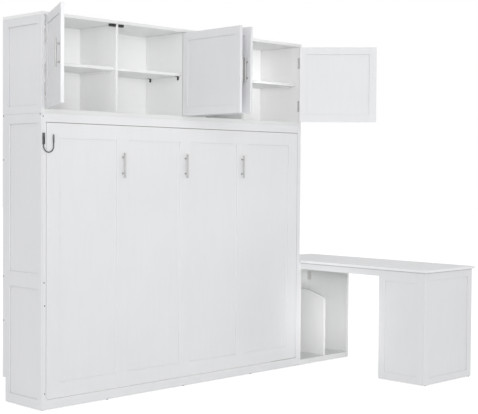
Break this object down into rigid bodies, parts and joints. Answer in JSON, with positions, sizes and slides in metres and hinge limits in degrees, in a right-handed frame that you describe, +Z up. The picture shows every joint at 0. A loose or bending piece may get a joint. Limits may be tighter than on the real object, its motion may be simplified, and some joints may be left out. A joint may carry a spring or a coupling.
{
  "type": "wall bed with desk",
  "caption": "Horizontal wall bed folded up behind a framed face, with an overhead cupboard, open doors and a long side desk on an end cabinet.",
  "frame": {"origin": "foot of the middle glide, on the floor under the middle of the bottom rail", "axes": "+X to the right along the wall, +Y to the wall, +Z up"},
  "size_m": [3.0009, 1.476, 2.275],
  "materials": {
    "white_lacquer": "satin white lacquer",
    "bare_timber": "planed, unfinished",
    "nickel": "brushed nickel",
    "hinge_steel": "satin nickel plated",
    "dark_steel": "dark nickel plated",
    "zinc_steel": "zinc plated",
    "black_steel": "black powder coat",
    "black_plastic": "matte",
    "black_cord": "braided"
  },
  "bodies": {
    "carcass": {"lower_side_left": "white_lacquer", "lower_side_right": "white_lacquer", "upper_side_left": "white_lacquer", "upper_side_right": "white_lacquer", "side_frames": "white_lacquer", "bottom_rail": "white_lacquer", "header_rail": "white_lacquer", "wall_rails": "white_lacquer", "cabinet_floor": "white_lacquer", "top_board": "white_lacquer", "cabinet_back": "white_lacquer", "dividers": "white_lacquer", "shelves": "white_lacquer", "shelf_cleats": "white_lacquer", "shelf_brackets": "black_steel", "door_catches": "black_plastic", "cover_caps": "black_plastic", "glides": "black_plastic", "hinge_leaves": "hinge_steel", "bed_pivot_plates": "zinc_steel", "torsion_bar": "zinc_steel", "torsion_springs": "black_steel", "tether_clip": "dark_steel", "desk_top": "white_lacquer", "desk_apron": "white_lacquer", "desk_panels": "white_lacquer", "desk_panel_mid": "white_lacquer", "desk_back": "white_lacquer", "desk_base": "white_lacquer", "desk_bracket": "zinc_steel", "cab_front": "white_lacquer", "cab_side": "white_lacquer", "cab_rear": "white_lacquer", "cab_floor": "white_lacquer", "cab_shelf": "white_lacquer", "cab_rail": "white_lacquer", "fitting_caps": "white_lacquer"},
    "bed": {"bed_face_frame": "white_lacquer", "bed_face_panels": "white_lacquer", "bed_handles": "nickel", "bed_rails": "bare_timber", "bed_battens": "bare_timber", "bed_slats": "bare_timber", "bed_bushes": "zinc_steel", "leg_studs": "zinc_steel", "tether_cord": "black_cord", "tether_ferrule": "dark_steel"},
    "leg": {"bed_leg": "black_steel"},
    "door_1": {"door_1": "white_lacquer", "door_1_handle": "nickel", "door_1_hinges": "hinge_steel"},
    "door_2": {"door_2": "white_lacquer", "door_2_handle": "nickel", "door_2_hinges": "hinge_steel"},
    "door_3": {"door_3": "white_lacquer", "door_3_handle": "nickel", "door_3_hinges": "hinge_steel"},
    "door_4": {"door_4": "white_lacquer", "door_4_handle": "nickel", "door_4_hinges": "hinge_steel"}
  },
  "joints": [
    {"name": "bed_fold", "type": "hinge", "parent": "carcass", "child": "bed", "pos_m": [0, 0.027, 0.21], "axis": [1, 0, 0], "range_deg": [0, 90], "stiffness_Nm_per_rad": 240},
    {"name": "leg_fold", "type": "hinge", "parent": "bed", "child": "leg", "pos_m": [0, 0.038, 1.5], "axis": [1, 0, 0], "range_deg": [0, 180]},
    {"name": "door_1_swing", "type": "hinge", "parent": "carcass", "child": "door_1", "pos_m": [-1.0785, -0.0142, 1.99], "axis": [0, 0, 1], "range_deg": [0, 117]},
    {"name": "door_2_swing", "type": "hinge", "parent": "carcass", "child": "door_2", "pos_m": [-0.0038, -0.0142, 1.99], "axis": [0, 0, 1], "range_deg": [-87.5, 0]},
    {"name": "door_3_swing", "type": "hinge", "parent": "carcass", "child": "door_3", "pos_m": [0.0038, -0.0142, 1.99], "axis": [0, 0, 1], "range_deg": [0, 86.5]},
    {"name": "door_4_swing", "type": "hinge", "parent": "carcass", "child": "door_4", "pos_m": [1.0785, -0.0142, 1.99], "axis": [0, 0, 1], "range_deg": [-130.5, 0]}
  ],
  "couplings": [
    {"joint": "leg_fold", "follows": "bed_fold", "ratio": 2}
  ]
}
